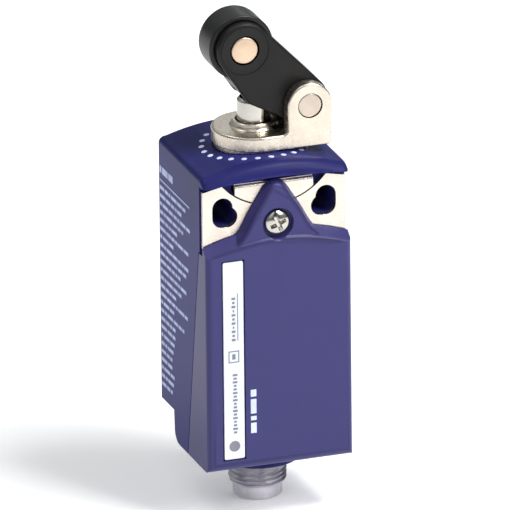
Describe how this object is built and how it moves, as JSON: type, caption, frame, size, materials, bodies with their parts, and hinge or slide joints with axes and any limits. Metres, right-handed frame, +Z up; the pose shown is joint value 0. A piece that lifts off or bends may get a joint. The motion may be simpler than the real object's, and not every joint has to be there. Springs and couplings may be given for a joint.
{
  "type": "limit switch",
  "caption": "Compact limit switch with a sprung roller lever over a plunger, a turning metal head, a moulded body with a release cover and a round threaded connector.",
  "frame": {"origin": "on the back mounting face, midway between the two fixing holes", "axes": "+X to the right seen from the front, +Y out of the back mounting face, +Z up towards the roller"},
  "size_m": [0.031, 0.03, 0.1041],
  "materials": {
    "body_moulding": "violet blue glass-filled moulding, satin",
    "cover_moulding": "violet blue moulding, satin",
    "plated_steel": "zinc plated sheet steel",
    "bright_steel": "bright turned steel",
    "zinc_casting": "bright zinc die casting",
    "pin_steel": "turned steel pin, warm reflection",
    "brass": "turned brass",
    "copper_alloy": "stamped copper alloy",
    "gold_contact": "gold plated",
    "nickel_shell": "nickel plated brass, matt",
    "lever_moulding": "black acetal, satin",
    "roller_moulding": "black acetal, satin",
    "rubber": "black rubber",
    "label_film": "white label film",
    "block_moulding": "cream moulding",
    "carrier_moulding": "red moulding",
    "black_moulding": "black moulding",
    "wire_insulation": "wire insulation"
  },
  "bodies": {
    "housing": {"housing": "body_moulding", "front_plate": "plated_steel", "head_lock": "plated_steel", "screw_insert": "brass", "contact_block": "block_moulding", "fixed_contact_1": "copper_alloy", "fixed_contact_2": "copper_alloy", "fixed_contact_3": "copper_alloy", "fixed_contact_4": "copper_alloy", "terminal_screw_1": "bright_steel", "terminal_screw_2": "bright_steel", "terminal_screw_3": "bright_steel", "terminal_screw_4": "bright_steel", "connector_shell": "nickel_shell", "connector_insert": "black_moulding", "connector_nut": "bright_steel", "connector_o_ring": "rubber", "connector_pin_1": "gold_contact", "connector_pin_2": "gold_contact", "connector_pin_3": "gold_contact", "connector_pin_4": "gold_contact", "internal_wire_1": "wire_insulation", "internal_wire_2": "wire_insulation", "internal_wire_3": "wire_insulation", "internal_wire_4": "wire_insulation", "return_spring": "bright_steel"},
    "cover": {"front_cover": "cover_moulding", "cover_screw": "bright_steel", "label_strip": "label_film", "cover_gasket": "rubber"},
    "head": {"head_base": "zinc_casting", "head_o_ring": "rubber", "plunger_seal": "rubber", "pivot_pin": "pin_steel"},
    "plunger": {"plunger": "bright_steel"},
    "lever": {"roller_lever": "lever_moulding", "roller_pin": "pin_steel"},
    "roller": {"roller": "roller_moulding"},
    "carrier": {"contact_carrier": "carrier_moulding", "upper_bridge": "copper_alloy", "lower_bridge": "copper_alloy", "upper_contact_spring": "bright_steel", "lower_contact_spring": "bright_steel"}
  },
  "joints": [
    {"name": "cover_release", "type": "slide", "parent": "housing", "child": "cover", "axis": [0, -1, 0], "range_m": [0, 0.025]},
    {"name": "head_turn", "type": "hinge", "parent": "housing", "child": "head", "pos_m": [0, -0.015, 0.0112], "axis": [0, 0, 1], "continuous": true},
    {"name": "lever_press", "type": "hinge", "parent": "head", "child": "lever", "pos_m": [0.0091, -0.015, 0.0202], "axis": [0, -1, 0], "range_deg": [0, 22], "stiffness_Nm_per_rad": 0.05, "springref_deg": -34.38},
    {"name": "roller_spin", "type": "hinge", "parent": "lever", "child": "roller", "pos_m": [-0.0036, -0.015, 0.0325], "axis": [0, 1, 0], "continuous": true},
    {"name": "plunger_travel", "type": "slide", "parent": "head", "child": "plunger", "axis": [0, 0, -1], "range_m": [0, 0.0035], "deforming": ["return_spring"]},
    {"name": "contact_travel", "type": "slide", "parent": "housing", "child": "carrier", "axis": [0, 0, -1], "range_m": [0, 0.0035]}
  ],
  "couplings": [
    {"joint": "plunger_travel", "follows": "lever_press", "m_per_rad": 0.0091},
    {"joint": "contact_travel", "follows": "lever_press", "m_per_rad": 0.0091}
  ]
}
